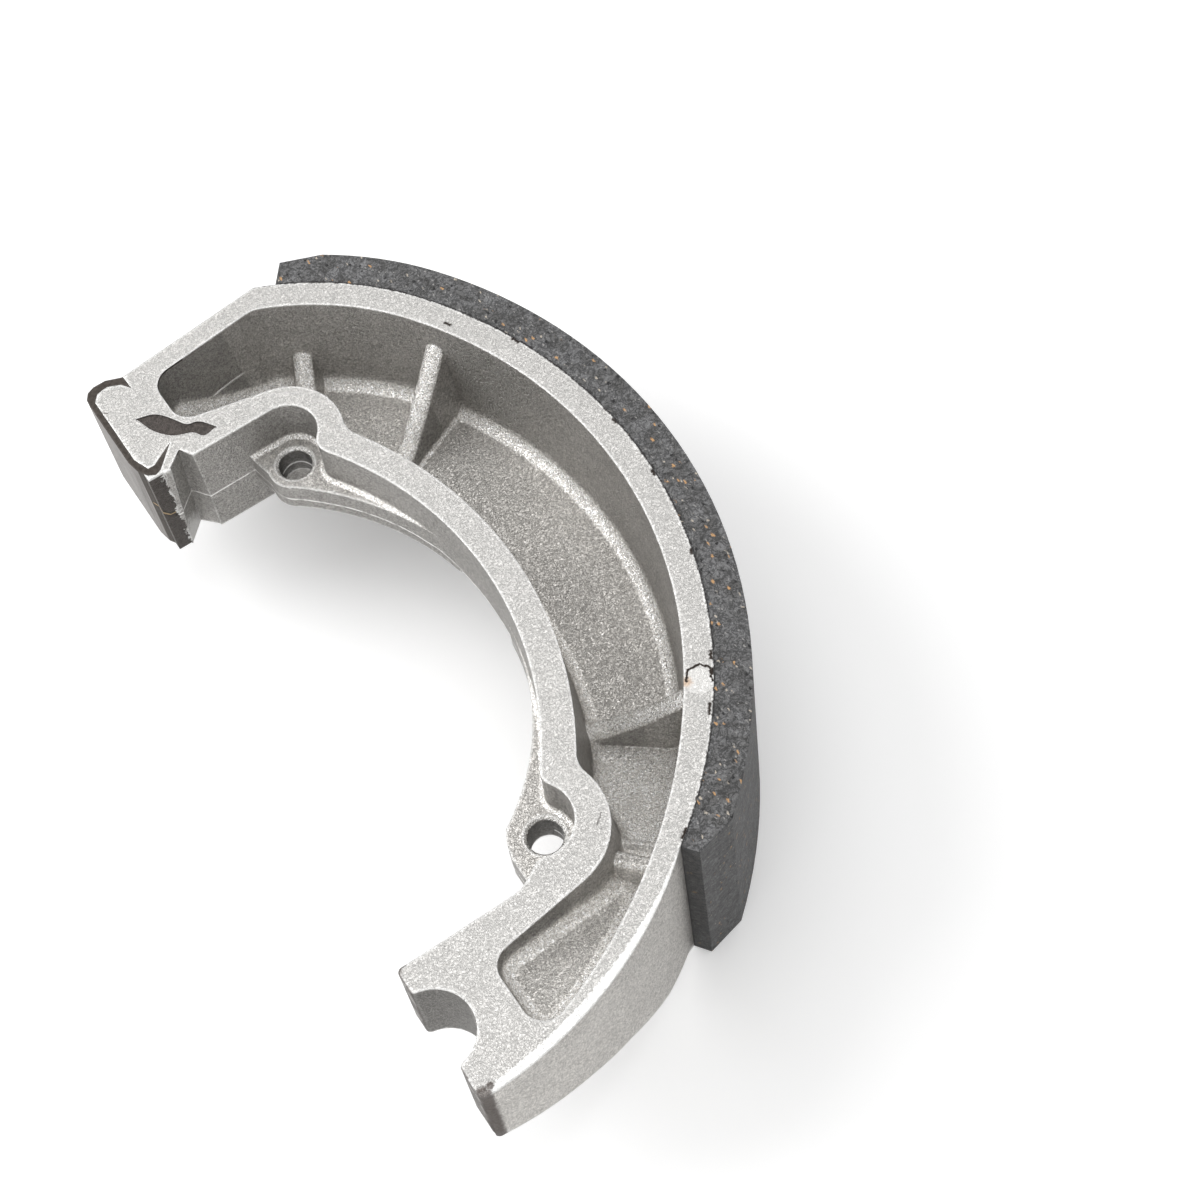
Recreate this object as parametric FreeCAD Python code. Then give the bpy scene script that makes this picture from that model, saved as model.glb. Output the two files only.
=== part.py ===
import FreeCAD
import Part
import math
import os

from FreeCAD import Vector

# Brake shoe for a 130 mm drum. Origin: drum axis at the plane the shoe stands on.
# +Z is the drum axis, +X points to the middle of the lining, +Y to the cam end.

# driving dimensions, millimetres and degrees
WIDTH = 30.0                # height of rim and lining along the drum axis
R_FRICTION = 65.0           # friction face
LINING = 4.5                # lining thickness
RIM = 3.5                   # rim thickness at the top
END_FROM = 33.0             # from this angle to the cam end the rim runs on a tighter arc
END_SHIFT = 20.1            # how far that arc's centre lies from the drum axis
LINING_FROM = -55.0         # pivot side end of the lining
LINING_TO = 51.5            # cam side end of the lining
DRAFT = 3.5                 # draft of the pocket walls
SET_BACK = 0.29             # how fast the inner wall draws back under the parting line
Z_PARTING = 20.5
Z_FLOOR = 14.0              # pocket floor
WEB = 3.5                   # web thickness
Z_CAM_BLOCK = 13.4          # underside of the cam block
Z_PIVOT_BLOCK = 17.4        # underside of the pivot block
X_CAM_FACE = 8.1            # steel face the cam pushes on
PLATE = 0.8                 # steel plate thickness
X_PIVOT = 1.0               # end faces of the pivot end
R_PIVOT = 4.9               # half-round seat for the 10 mm anchor pin
LOBE_R = 0.7                # rounding of the corners beside the seat
EAR_TOP = 23.4
EAR_LOW = 18.8
HOLE_R = 2.15               # spring holes
R_BULGE_CAM = 3.9           # hollows that the ears stand in, hub side of the wall
R_BULGE_PIV = 4.7
HUB_DRAFT = 0.8
EAR_COVE = 0.8              # rounding between the ears and the inner wall
FLOOR_R = 2.2               # rounding where pocket walls meet the floor
FLOOR_CAM = [(-37.0, Z_FLOOR), (-30.0, Z_FLOOR), (-24.0, 18.6), (-8.0, 29.5)]
FLOOR_PIVOT = [(-12.0, Z_FLOOR), (1.0, Z_FLOOR), (3.0, 25.0), (40.0, 28.5)]
RIB_TOP = 1.3               # half width of a rib under its rounded crest
RIB_CROWN = 0.8             # height of that rounding
RIB_COVE = 1.0              # rounding of a rib into the floor
RIB_TAPER = 0.12            # how fast a rib widens downwards
SCAR = 0.15                 # depth of the dark unground patch on the cam block

# worked out from the driving dimensions
TOP = WIDTH + 1.0
R_RIM = R_FRICTION - LINING      # outer face of the rim, where the lining sits
R_POCKET = R_RIM - RIM           # inner face of the rim at the top
PIVOT_Y = 8.6 - R_RIM
Y_WALL_PIV = PIVOT_Y + 8.4       # straight hub side of the wall by the pivot
Y_CAM_TOP = R_RIM - 15.6         # outer edge of the cam block
WALL_IN = (-10.9, -4.8, R_RIM - 13.7)    # hub side of the inner wall: centre x, y, radius
WALL_OUT = (-12.0, -5.1, R_RIM - 8.7)    # pocket side of the inner wall
BACK_CENTRE = (-8.87, 5.42)      # the pocket widens into this arc at the pivot end
R_BACK = R_POCKET + math.hypot(*BACK_CENTRE)


def at_rim(depth, angle):
    # plan point at a depth inside the rim's outer face
    turn = math.radians(angle)
    return (R_RIM - depth) * math.cos(turn), (R_RIM - depth) * math.sin(turn)


def by(point, dx, dy):
    return point[0] + dx, point[1] + dy


END_CENTRE = at_rim(R_RIM - END_SHIFT, END_FROM)
EAR_CAM = at_rim(24.3, 43.9)
EAR_PIVOT = at_rim(16.5, -56.8)
BULGE_CAM_IN = by(EAR_CAM, 0.3, 0.3) + (R_BULGE_CAM,)
BULGE_CAM_OUT = by(EAR_CAM, -0.1, -0.2) + (7.5,)
BULGE_PIV_IN = by(EAR_PIVOT, -1.2, -0.4) + (R_BULGE_PIV,)
BULGE_PIV_OUT = by(EAR_PIVOT, -1.6, -1.1) + (8.9,)
Y_WALL_CAM = BULGE_CAM_IN[1] + R_BULGE_CAM       # straight hub side of the wall by the cam block


def polar(radius, angle, z=0.0):
    turn = math.radians(angle)
    return Vector(radius * math.cos(turn), radius * math.sin(turn), z)


def flat(points, z):
    corners = [Vector(x, y, z) for x, y in points]
    return Part.Face(Part.makePolygon(corners + [corners[0]]))


def prism(points, low, high):
    return flat(points, low).extrude(Vector(0, 0, high - low))


def arc(start, middle, end):
    return Part.Arc(start, middle, end).toShape()


def line(start, end):
    return Part.LineSegment(start, end).toShape()


def disc(x, y, radius, low, high):
    return Part.makeCylinder(radius, high - low, Vector(x, y, low))


def heading(angle):
    turn = math.radians(angle)
    return Vector(math.cos(turn), math.sin(turn), 0)


def left_of(step):
    return Vector(-step.y, step.x, 0)


def moved(side, shift):
    # a line or circle of an outline, moved to its left by shift
    kind = side[0]
    if kind == "line":
        step = heading(side[3])
        point = Vector(side[1], side[2], 0) + left_of(step) * shift
        return ("line", point.x, point.y, side[3])
    change = -shift if kind == "ccw" else shift
    return (kind, side[1], side[2], side[3] + change)


def foot(side, point):
    # nearest point of a line or circle
    at = Vector(side[1], side[2], 0)
    if side[0] == "line":
        step = heading(side[3])
        return at + step * (point - at).dot(step)
    return at + (point - at).normalize() * side[3]


def crossing(one, two, hint):
    # where two sides meet, the place nearest to the hint
    if one[0] == "line" and two[0] == "line":
        d1 = heading(one[3])
        d2 = heading(two[3])
        gap = Vector(two[1] - one[1], two[2] - one[2], 0)
        run = (gap.x * d2.y - gap.y * d2.x) / (d1.x * d2.y - d1.y * d2.x)
        return Vector(one[1], one[2], 0) + d1 * run
    if one[0] == "line":
        one, two = two, one
    centre = Vector(one[1], one[2], 0)
    if two[0] == "line":
        base = foot(two, centre)
        step = heading(two[3])
        half = math.sqrt(max(one[3] ** 2 - (base - centre).Length ** 2, 0))
    else:
        axis = Vector(two[1], two[2], 0) - centre
        far = axis.Length
        along = (far ** 2 + one[3] ** 2 - two[3] ** 2) / (2 * far)
        axis.normalize()
        base = centre + axis * along
        step = left_of(axis)
        half = math.sqrt(max(one[3] ** 2 - along ** 2, 0))
    both = [base + step * half, base - step * half]
    return min(both, key=lambda q: (q - hint).Length)


def touching(one, two):
    # where two tangent sides touch
    if two[0] == "line":
        return foot(two, Vector(one[1], one[2], 0))
    if one[0] == "line" or two[3] > one[3]:
        return foot(one, Vector(two[1], two[2], 0))
    centre = Vector(one[1], one[2], 0)
    return centre + (Vector(two[1], two[2], 0) - centre).normalize() * one[3]


def outline(sides, joints, inset, z):
    # closed outline, void on the left, moved into the void by inset; each joint is None (tangent)
    # or (radius, x, y), radius above 0 for a corner of the void and under 0 for one of the metal
    drawn = sides
    sides = [moved(side, inset) for side in sides]
    corners = []
    for i, joint in enumerate(joints):
        one = sides[i]
        two = sides[(i + 1) % len(sides)]
        if joint is None:
            point = touching(one, two)
            corners.append((point, None, point))
            continue
        radius, x, y = joint
        hint = Vector(x, y, 0)
        if radius == 0:
            point = crossing(one, two, hint)
            corners.append((point, None, point))
            continue
        after = drawn[(i + 1) % len(sides)]
        centre = crossing(moved(drawn[i], radius), moved(after, radius), hint)
        first = foot(one, centre)
        last = foot(two, centre)
        middle = centre + ((first + last) * 0.5 - centre).normalize() * abs(radius - inset)
        corners.append((first, middle, last))
    edges = []
    for i, side in enumerate(sides):
        start = corners[i - 1][2]
        end = corners[i][0]
        if side[0] == "line":
            edges.append(line(start, end))
        else:
            centre = Vector(side[1], side[2], 0)
            a0 = math.atan2(start.y - centre.y, start.x - centre.x)
            a1 = math.atan2(end.y - centre.y, end.x - centre.x)
            turn = (a1 - a0) % (2 * math.pi)
            if side[0] == "cw":
                turn -= 2 * math.pi
            mid = centre + heading(math.degrees(a0 + turn / 2)) * side[3]
            edges.append(arc(start, mid, end))
        if corners[i][1] is not None:
            edges.append(arc(*corners[i]))
    for edge in edges:
        edge.translate(Vector(0, 0, z))
    return edges


def right_way_out(solid):
    if solid.Volume < 0:
        solid.reverse()
    return solid


def wall_face(low, high):
    # flat or conical face between two matching edges of an outline
    foot_start, foot_end = (low.valueAt(p) for p in low.ParameterRange)
    head_start, head_end = (high.valueAt(p) for p in high.ParameterRange)
    if low.Curve.TypeId == "Part::GeomCircle":
        swing = math.degrees(low.LastParameter - low.FirstParameter)
        return line(foot_start, head_start).revolve(low.Curve.Center, low.Curve.Axis, swing)
    return Part.Face(Part.makePolygon([foot_start, foot_end, head_end, head_start, foot_start]))


def drafted(sides, joints, ref, low, high, angle):
    # solid whose outline is given at height ref and shrinks downwards by the draft
    slope = math.tan(math.radians(angle))
    bottom = outline(sides, joints, (ref - low) * slope, low)
    top = outline(sides, joints, (ref - high) * slope, high)
    faces = [wall_face(a, b) for a, b in zip(bottom, top)]
    faces += [Part.Face(Part.Wire(bottom)), Part.Face(Part.Wire(top))]
    shell = Part.makeShell(faces)
    shell.sewShape()
    return right_way_out(Part.makeSolid(shell))


def tangent(circle, angle):
    # line that leaves a clockwise circle at a heading
    x, y, radius = circle
    start = Vector(x, y, 0) + left_of(heading(angle)) * radius
    return ("line", start.x, start.y, angle)


def upright(edge):
    # edges that run mostly along the drum axis
    box = edge.BoundBox
    return box.ZLength > 5.0 and box.ZLength > 3.0 * max(box.XLength, box.YLength)


def rounded(solid, edges, radius):
    return solid.makeFillet(radius, edges) if edges else solid


def end_point(radius, angle, z=0.0):
    # point of the tighter end arc that goes with a radius, at an angle about the drum axis
    turn = heading(angle)
    centre = Vector(*END_CENTRE, 0)
    along = centre.dot(turn)
    reach = radius - END_SHIFT
    return turn * (along + math.sqrt(reach ** 2 + along ** 2 - END_SHIFT ** 2)) + Vector(0, 0, z)


def outer_body():
    x_block = X_CAM_FACE + PLATE
    cam_low = Vector(x_block, Y_WALL_CAM + 0.2, 0)
    cam_high = Vector(x_block, Y_CAM_TOP, 0)
    end_arc = ("ccw",) + END_CENTRE + (R_RIM - END_SHIFT,)
    flat_end = crossing(("line", x_block, Y_CAM_TOP, 5.9), end_arc, Vector(R_RIM, R_RIM, 0))
    end_start = polar(R_RIM, END_FROM)
    lining_end = polar(R_RIM, LINING_FROM)
    tip = Vector(X_PIVOT, -R_RIM - 0.9, 0)
    inner = Vector(X_PIVOT, Y_WALL_PIV - 0.15, 0)
    edges = [line(cam_low, cam_high), line(cam_high, flat_end)]
    edges.append(arc(flat_end, end_point(R_RIM, LINING_TO), end_start))
    edges.append(arc(end_start, Vector(R_RIM, 0, 0), lining_end))
    edges.append(arc(lining_end, polar(R_RIM + 1.05, -70.2), tip))
    edges += [line(tip, inner), line(inner, cam_low)]
    return Part.Face(Part.Wire(edges)).extrude(Vector(0, 0, WIDTH))


def hub_outline():
    # hub side of the inner wall, with the hollows that the two ears stand in
    x_open = -9
    sides = [("line", 0, Y_WALL_PIV, 0), ("line", EAR_PIVOT[0] - 6.7, Y_WALL_PIV, 31),
             ("ccw",) + BULGE_PIV_IN, ("ccw",) + WALL_IN, ("ccw",) + BULGE_CAM_IN,
             ("line", 0, Y_WALL_CAM, 180), ("line", x_open, 0, -90)]
    joints = [(4.0,) + by(EAR_PIVOT, -8, -2), (-1.5,) + by(EAR_PIVOT, -3, -6),
              (-2.0,) + by(EAR_PIVOT, 3, 5), (-2.5,) + by(EAR_CAM, 5, -5), None,
              (0, x_open, Y_WALL_CAM), (0, x_open, Y_WALL_PIV)]
    return sides, joints


def hub_space():
    # all that is cut away on the hub side of the inner wall; the ears are what stays
    sides, joints = hub_outline()
    upper = drafted(sides, joints, Z_PARTING, EAR_TOP, TOP, HUB_DRAFT)
    foot_edges = [e for e in upper.Edges if e.BoundBox.ZMax < EAR_TOP + 0.1 and e.BoundBox.XMax > 10]
    upper = rounded(upper, foot_edges, EAR_COVE)
    high = EAR_TOP + EAR_COVE + 0.2
    middle = drafted(sides, joints, Z_PARTING, Z_PARTING, high, HUB_DRAFT)
    low = 8.0
    deep = list(sides)
    deep[0] = ("line", 0, Y_WALL_PIV - 0.2, 0)
    deep[1] = ("line", sides[1][1], Y_WALL_PIV - 0.2, 31)
    deep[2] = ("ccw", BULGE_PIV_IN[0], BULGE_PIV_IN[1], R_BULGE_PIV + 0.5)
    deep[3] = ("ccw", WALL_IN[0], WALL_IN[1], WALL_IN[2] + (Z_PARTING - low) * SET_BACK)
    deep[4] = ("ccw", BULGE_CAM_IN[0], BULGE_CAM_IN[1] - 0.5, R_BULGE_CAM + 0.7)
    deep[5] = ("line", 0, Y_WALL_CAM + 0.2, 180)
    wires = [Part.Wire(outline(deep, joints, 0, low)), Part.Wire(outline(sides, joints, 0, Z_PARTING))]
    below = middle.fuse(Part.makeLoft(wires, True, True))
    for ear in (ear_cam(high), ear_pivot(high)):
        below = below.cut(ear)
    edge = X_CAM_FACE - PLATE
    clear = prism([(-80, Y_WALL_PIV - 0.15), (edge, Y_WALL_PIV - 0.15), (edge, Y_WALL_CAM + 0.3),
                   (-80, Y_WALL_CAM + 0.3)], -1, TOP)
    return upper.fuse(below).fuse(clear)


def pocket_space():
    # the deep pocket between rim and inner wall, open at the top
    x_cam = X_CAM_FACE + 8.2
    x_piv = X_PIVOT + 9.0
    sides = [("ccw", 0, 0, R_POCKET), ("ccw",) + END_CENTRE + (R_POCKET - END_SHIFT,),
             ("line", 33.0, Y_CAM_TOP - 0.3, 186.5), ("line", x_cam, 0, -90),
             tangent(BULGE_CAM_OUT, -13.2), ("cw",) + BULGE_CAM_OUT, ("cw",) + WALL_OUT,
             ("cw",) + BULGE_PIV_OUT, tangent(BULGE_PIV_OUT, 188), ("line", x_piv, 0, -90),
             ("ccw",) + BACK_CENTRE + (R_BACK,)]
    joints = [None, (4.0, 33, Y_CAM_TOP - 4), (2.9, x_cam + 3, Y_CAM_TOP - 5),
              (2.9, x_cam + 3, Y_CAM_TOP - 8), None, (3.5,) + by(EAR_CAM, 10, -4),
              (3.4,) + by(EAR_PIVOT, 10, 4), None, (2.7, x_piv + 2.6, PIVOT_Y + 1),
              (2.7, x_piv + 2.6, PIVOT_Y - 4), None]
    bowl = drafted(sides, joints, WIDTH, 5.0, TOP, DRAFT)
    bowl = bowl.common(floor_level())
    low = [e for e in bowl.Edges if not upright(e) and e.BoundBox.ZMax < TOP - 0.5]
    return rounded(bowl, low, FLOOR_R)


def smooth(points):
    curve = Part.BezierCurve()
    curve.setPoles(points)
    return curve.toShape()


def floor_level():
    # the floor is flat along the middle and climbs in a soft curve to both ends
    sides = []
    for turn, rise in ((Vector(-1, 0, 0), FLOOR_CAM), (Vector(-1, -1, 0).normalize(), FLOOR_PIVOT)):
        poles = [turn * s + Vector(0, 0, z) for s, z in rise]
        first = poles[0]
        last = poles[-1]
        back = turn * -90
        edges = [line(Vector(back.x, back.y, first.z), first), smooth(poles)]
        edges.append(line(last, Vector(last.x, last.y, TOP)))
        edges.append(line(Vector(last.x, last.y, TOP), Vector(back.x, back.y, TOP)))
        edges.append(line(Vector(back.x, back.y, TOP), Vector(back.x, back.y, first.z)))
        face = Part.Face(Part.Wire(edges))
        across = Vector(-turn.y, turn.x, 0)
        face.translate(across * -100)
        sides.append(face.extrude(across * 200))
    sides[0] = sides[0].common(prism([(-99, 0), (99, 0), (99, 99), (-99, 99)], 0, TOP + 5))
    sides[1] = sides[1].common(prism([(-99, -99), (99, -99), (99, 0), (-99, 0)], 0, TOP + 5))
    return sides[0].fuse(sides[1]).removeSplitter()


def underside():
    # the hollow under the web, inside the rim
    low_web = Z_FLOOR - WEB
    cam = [(-20, -2), (90, -2), (90, low_web), (34, low_web), (25, Z_CAM_BLOCK), (-20, Z_CAM_BLOCK)]
    shape = [Vector(x, 0, z) for x, z in cam]
    side = Part.Face(Part.makePolygon(shape + [shape[0]])).extrude(Vector(0, 100, 0))
    ramp = [(-90, -2), (90, -2), (90, Z_PIVOT_BLOCK), (10, Z_PIVOT_BLOCK), (-6, low_web), (-90, low_web)]
    turn = Vector(-math.sqrt(0.5), -math.sqrt(0.5), 0)
    shape = [turn * s + Vector(0, 0, z) for s, z in ramp]
    other = Part.Face(Part.makePolygon(shape + [shape[0]]))
    other = other.extrude(Vector(1, -1, 0) * 100).fuse(other.extrude(Vector(-1, 1, 0) * 100))
    other = other.common(prism([(-90, -90), (90, -90), (90, 0), (-90, 0)], -2, TOP))
    # the two arcs of the rim's inner face touch on the line through their centres
    seam = Vector(-BACK_CENTRE[0], -BACK_CENTRE[1], 0).normalize()
    west = seam * -80
    east = seam * 110
    y_end = 44.5
    inside = Part.makeCone(R_POCKET + 0.5, R_POCKET - 0.3, 22.0, Vector(0, 0, -2))
    inside = inside.common(prism([west[:2], east[:2], (east.x, y_end), (west.x, y_end)], -2, 20))
    deep = Part.makeCone(R_BACK + 0.5, R_BACK - 0.3, 22.0, Vector(*BACK_CENTRE, -2))
    deep = deep.common(prism([west[:2], (west.x, -90), (east.x, -90), east[:2]], -2, 20))
    return side.fuse(other).common(inside.fuse(deep)).removeSplitter()


def rim_ends():
    # the lower edge of the rim climbs from the lining ends to the two blocks
    x_cam = polar(R_RIM, LINING_TO).x
    x_piv = polar(R_RIM, LINING_FROM).x
    cam = [(x_cam + 0.5, -2), (x_cam - 0.8, 1.8), (x_cam - 9.1, 3.7),
           (X_CAM_FACE + 5.1, Z_CAM_BLOCK), (-5, Z_CAM_BLOCK), (-5, -2)]
    piv = [(x_piv + 1.3, -2), (x_piv - 1.5, 2.4), (x_piv - 6.5, 3.9), (x_piv - 14.1, 9.2),
           (x_piv - 20.9, 12.3), (X_PIVOT, 16.5), (-5, 18.5), (-5, -2)]
    cuts = []
    for points, y0, y1 in ((cam, 20, 70), (piv, -70, -30)):
        shape = [Vector(x, y0, z) for x, z in points]
        cuts.append(Part.Face(Part.makePolygon(shape + [shape[0]])).extrude(Vector(0, y1 - y0, 0)))
    return cuts


def rib_section(at, side, top, base):
    # bell-shaped cross-section: rounded crest, tapered flanks and a rounding into the floor
    height = top - base
    cove = min(RIB_COVE, 0.4 * height)
    shoulder = top - min(RIB_CROWN, 0.4 * height)
    half = RIB_TOP + RIB_TAPER * height
    reach = half + cove
    bend = (1 - math.sqrt(0.5)) * cove
    low = base - WEB

    def spot(across, z):
        return at + side * across + Vector(0, 0, z)

    edges = [line(spot(-reach, low), spot(-reach, base))]
    edges.append(arc(spot(-reach, base), spot(-half - bend, base + bend), spot(-half, base + cove)))
    edges.append(line(spot(-half, base + cove), spot(-RIB_TOP, shoulder)))
    edges.append(arc(spot(-RIB_TOP, shoulder), spot(0, top), spot(RIB_TOP, shoulder)))
    edges.append(line(spot(RIB_TOP, shoulder), spot(half, base + cove)))
    edges.append(arc(spot(half, base + cove), spot(half + bend, base + bend), spot(reach, base)))
    edges.append(line(spot(reach, base), spot(reach, low)))
    edges.append(line(spot(reach, low), spot(-reach, low)))
    return Part.Wire(edges)


def rib(outside, inside, base, crest):
    # stiffener from the rim to the inner wall; crest lists heights at shares of the way
    start = Vector(*outside, 0)
    along = Vector(*inside, 0) - start
    side = left_of(along).normalize()
    wires = [rib_section(start + along * share, side, top, base) for share, top in crest]
    return Part.makeLoft(wires, True, True)


def ribs():
    base = Z_FLOOR - 0.1
    by_cam = [(0, 23.5), (0.28, 19.2), (0.5, 16.0), (1, 14.9)]
    upper = [(0, 28.5), (0.36, 22.0), (0.66, 17.2), (0.82, 15.9), (1, 15.4)]
    lower = [(0, 26.0), (0.36, 20.0), (0.66, 16.6), (0.82, 15.7), (1, 15.3)]
    by_pivot = [(0, 23.4), (0.5, 22.2), (1, 21.2)]
    return [rib(at_rim(1.9, 50.0), at_rim(19.2, 45.6), base, by_cam),
            rib(at_rim(1.5, 29.7), at_rim(19.5, 29.7), base, upper),
            rib(at_rim(1.5, -33.6), at_rim(19.5, -33.6), base, lower),
            rib(at_rim(1.5, -53.3), at_rim(16, -55.5), 19.0, by_pivot)]


def ear(place, radius, sides, web, high):
    # spring ear: a round boss, the metal behind it and a web that runs out along the inner wall
    x, y = place
    body = disc(x, y, radius, EAR_LOW, high).fuse(prism([by(place, *p) for p in sides], EAR_LOW, high))
    start, middle, end, far, back = (Vector(*by(place, *p), EAR_LOW) for p in web)
    edges = [arc(start, middle, end), line(end, far), line(far, back), line(back, start)]
    return body.fuse(Part.Face(Part.Wire(edges)).extrude(Vector(0, 0, high - EAR_LOW))).removeSplitter()


def ear_cam(high):
    sides = [(-3.4, 0), (-4.4, 5.4), (5.4, 5.4), (5.4, -8.6), (-2.2, -2.7)]
    web = [(-2.3, -2.7), (5.1, -11.6), (9.6, -23.6), (11.9, -23.1), (6.9, -5.1)]
    return ear(EAR_CAM, 3.6, sides, web, high)


def ear_pivot(high):
    sides = [(-4.65, 0), (-4.8, -7.2), (4.9, -7.2), (4.9, 4.8), (-3.2, 3.4)]
    web = [(-3.3, 3.3), (5.5, 11.4), (11.3, 25.8), (13.9, 24.8), (7.9, 3.8)]
    return ear(EAR_PIVOT, 4.5, sides, web, high)


def spring_holes():
    cuts = []
    for x, y in (EAR_CAM, EAR_PIVOT):
        cuts.append(disc(x, y, HOLE_R, 5, EAR_TOP + 0.5))
        cuts.append(Part.makeCone(HOLE_R, HOLE_R + 0.5, 0.6, Vector(x, y, EAR_TOP - 0.4)))
    return cuts


def plate_outline():
    # steel strip: inner tip of the upper leg, round the face, to the tip of the lower leg
    face = X_CAM_FACE
    back = X_CAM_FACE + PLATE
    top = Y_CAM_TOP
    low = Y_WALL_CAM
    return [(face + 5.65, top - 1.8), (face + 5.55, top + 0.4), (face + 3.4, top + 1.3),
            (face + 1.7, top + 1.3), (face + 0.7, top + 0.9), (face + 0.1, top), (face, top - 1.0),
            (face, low + 4.0), (face + 0.35, low + 2.1), (face + 1.1, low + 0.8),
            (face + 2.0, low + 0.3), (face + 2.8, low + 0.6), (face + 5.8, low + 3.6),
            (face + 2.5, low + 1.7), (face + 1.6, low + 1.7), (back, low + 3.9), (back, top - 1.0),
            (face + 1.6, top), (face + 3.1, top + 0.3), (face + 4.8, top - 0.5)]


def cam_plate():
    return prism(plate_outline()[::-1], Z_CAM_BLOCK, WIDTH).cut(flash())


def flash():
    # thin skin of casting metal that ran over the side leg of the plate: ragged edge as
    # distance from the cam face and depth under the top
    ragged = [(2.9, 0), (3.1, 1.2), (2.5, 2.0), (2.5, 3.7), (2.9, 5.1), (2.7, 7.0), (3.3, 8.5),
              (2.1, 9.3), (2.2, 11.5), (2.4, 13.1), (2.5, 14.7), (3.3, 15.3), (2.5, 16.8), (3.5, 24),
              (4.3, 24), (4.3, 0)]
    shape = [Vector(X_CAM_FACE + x, Y_WALL_CAM - 0.1, WIDTH - depth) for x, depth in ragged]
    skin = Part.Face(Part.makePolygon(shape + [shape[0]])).extrude(Vector(0, 0.45, 0))
    return skin.common(disc(X_CAM_FACE, Y_WALL_CAM, 9, Z_CAM_BLOCK, WIDTH))


def groove():
    # narrow V between the cam block and the straight wall; it leans towards the plate lower down
    corner = (X_CAM_FACE, Y_WALL_CAM)
    high = [by(corner, *p) for p in [(3.9, -0.8), (7.7, -0.8), (7.3, -0.1), (6.1, 1.9), (3.9, 0.2)]]
    low = [by(corner, *p) for p in [(2.5, -0.8), (7.2, -0.8), (7.0, 0.4), (5.2, 2.4), (2.7, 0)]]
    wires = [flat(low, Z_CAM_BLOCK).OuterWire, flat(high, WIDTH).OuterWire]
    return right_way_out(Part.makeLoft(wires, True, True))


def scar():
    # ragged leaf-shaped patch on the cam block that the grinding left out
    upper = [(3.8, 9.3), (4.9, 9.0), (6.1, 8.5), (6.9, 7.7), (8.2, 5.5), (8.9, 4.6), (9.9, 4.3),
             (10.9, 3.3), (11.8, 1.8)]
    lower = [(11.8, 1.8), (11.1, 2.0), (10.4, 1.8), (9.5, 2.0), (9.1, 2.7), (7.7, 3.6), (6.8, 4.0),
             (5.7, 5.0), (4.5, 7.1), (4.2, 8.2), (3.8, 9.3)]
    edges = []
    for side in (upper, lower):
        curve = Part.BSplineCurve()
        curve.interpolate([Vector(X_CAM_FACE + x, Y_WALL_CAM + y, WIDTH - SCAR) for x, y in side])
        edges.append(curve.toShape())
    return Part.Face(Part.Wire(edges)).extrude(Vector(0, 0, 1))


def shoe_casting():
    body = outer_body().cut(pocket_space())
    for piece in ribs():
        body = body.fuse(piece)
    for cutter in [hub_space(), underside()] + rim_ends() + spring_holes():
        body = body.cut(cutter)
    body = body.cut(disc(X_PIVOT - 0.4, PIVOT_Y, R_PIVOT, -1, TOP))
    by_pin = [e for e in body.Edges if e.BoundBox.XMax < X_PIVOT + 0.5 and e.BoundBox.YMax < 0]
    body = rounded(body, [e for e in by_pin if upright(e)], LOBE_R)
    body = body.cut(prism(plate_outline()[::-1], -1, TOP)).fuse(flash())
    return body.cut(groove()).cut(scar()).removeSplitter()


def lining_outline():
    # plan outline: concentric arcs, tighter past END_FROM, with bevelled ends
    lead_in = math.degrees(5.0 / R_FRICTION)
    lead_out = math.degrees(5.5 / R_FRICTION)
    a = polar(R_FRICTION - 2.2, LINING_FROM)
    b = polar(R_FRICTION, LINING_FROM + lead_in)
    c = polar(R_FRICTION, END_FROM)
    d = end_point(R_FRICTION, LINING_TO - lead_out)
    e = end_point(R_FRICTION - 1.0, LINING_TO)
    f = end_point(R_RIM, LINING_TO)
    g = polar(R_RIM, END_FROM)
    h = polar(R_RIM, LINING_FROM)
    middle = (LINING_FROM + END_FROM) / 2
    near_end = (END_FROM + LINING_TO) / 2
    edges = [line(a, b), arc(b, polar(R_FRICTION, middle), c), arc(c, end_point(R_FRICTION, near_end), d)]
    edges += [line(d, e), line(e, f), arc(f, end_point(R_RIM, near_end), g), arc(g, polar(R_RIM, middle), h)]
    edges.append(line(h, a))
    return Part.Wire(edges)


def friction_lining():
    return Part.Face(lining_outline()).extrude(Vector(0, 0, WIDTH))


os.makedirs("parts", exist_ok=True)
shoe_casting().exportStep("parts/shoe_casting.step")
friction_lining().exportStep("parts/friction_lining.step")
cam_plate().exportStep("parts/cam_wear_plate.step")
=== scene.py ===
import math

import bpy
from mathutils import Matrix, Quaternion, Vector


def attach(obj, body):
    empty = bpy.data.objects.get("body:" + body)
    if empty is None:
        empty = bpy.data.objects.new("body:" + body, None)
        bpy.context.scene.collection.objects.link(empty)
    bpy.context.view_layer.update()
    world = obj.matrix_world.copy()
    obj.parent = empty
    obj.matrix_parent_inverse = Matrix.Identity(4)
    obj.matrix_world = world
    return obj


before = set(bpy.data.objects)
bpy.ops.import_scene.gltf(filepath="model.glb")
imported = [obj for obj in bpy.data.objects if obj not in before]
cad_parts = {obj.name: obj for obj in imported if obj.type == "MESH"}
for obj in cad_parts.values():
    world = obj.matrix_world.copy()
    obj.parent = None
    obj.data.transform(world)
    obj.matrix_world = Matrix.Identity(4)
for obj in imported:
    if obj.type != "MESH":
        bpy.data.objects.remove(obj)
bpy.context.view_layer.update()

MM = 0.001

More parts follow.
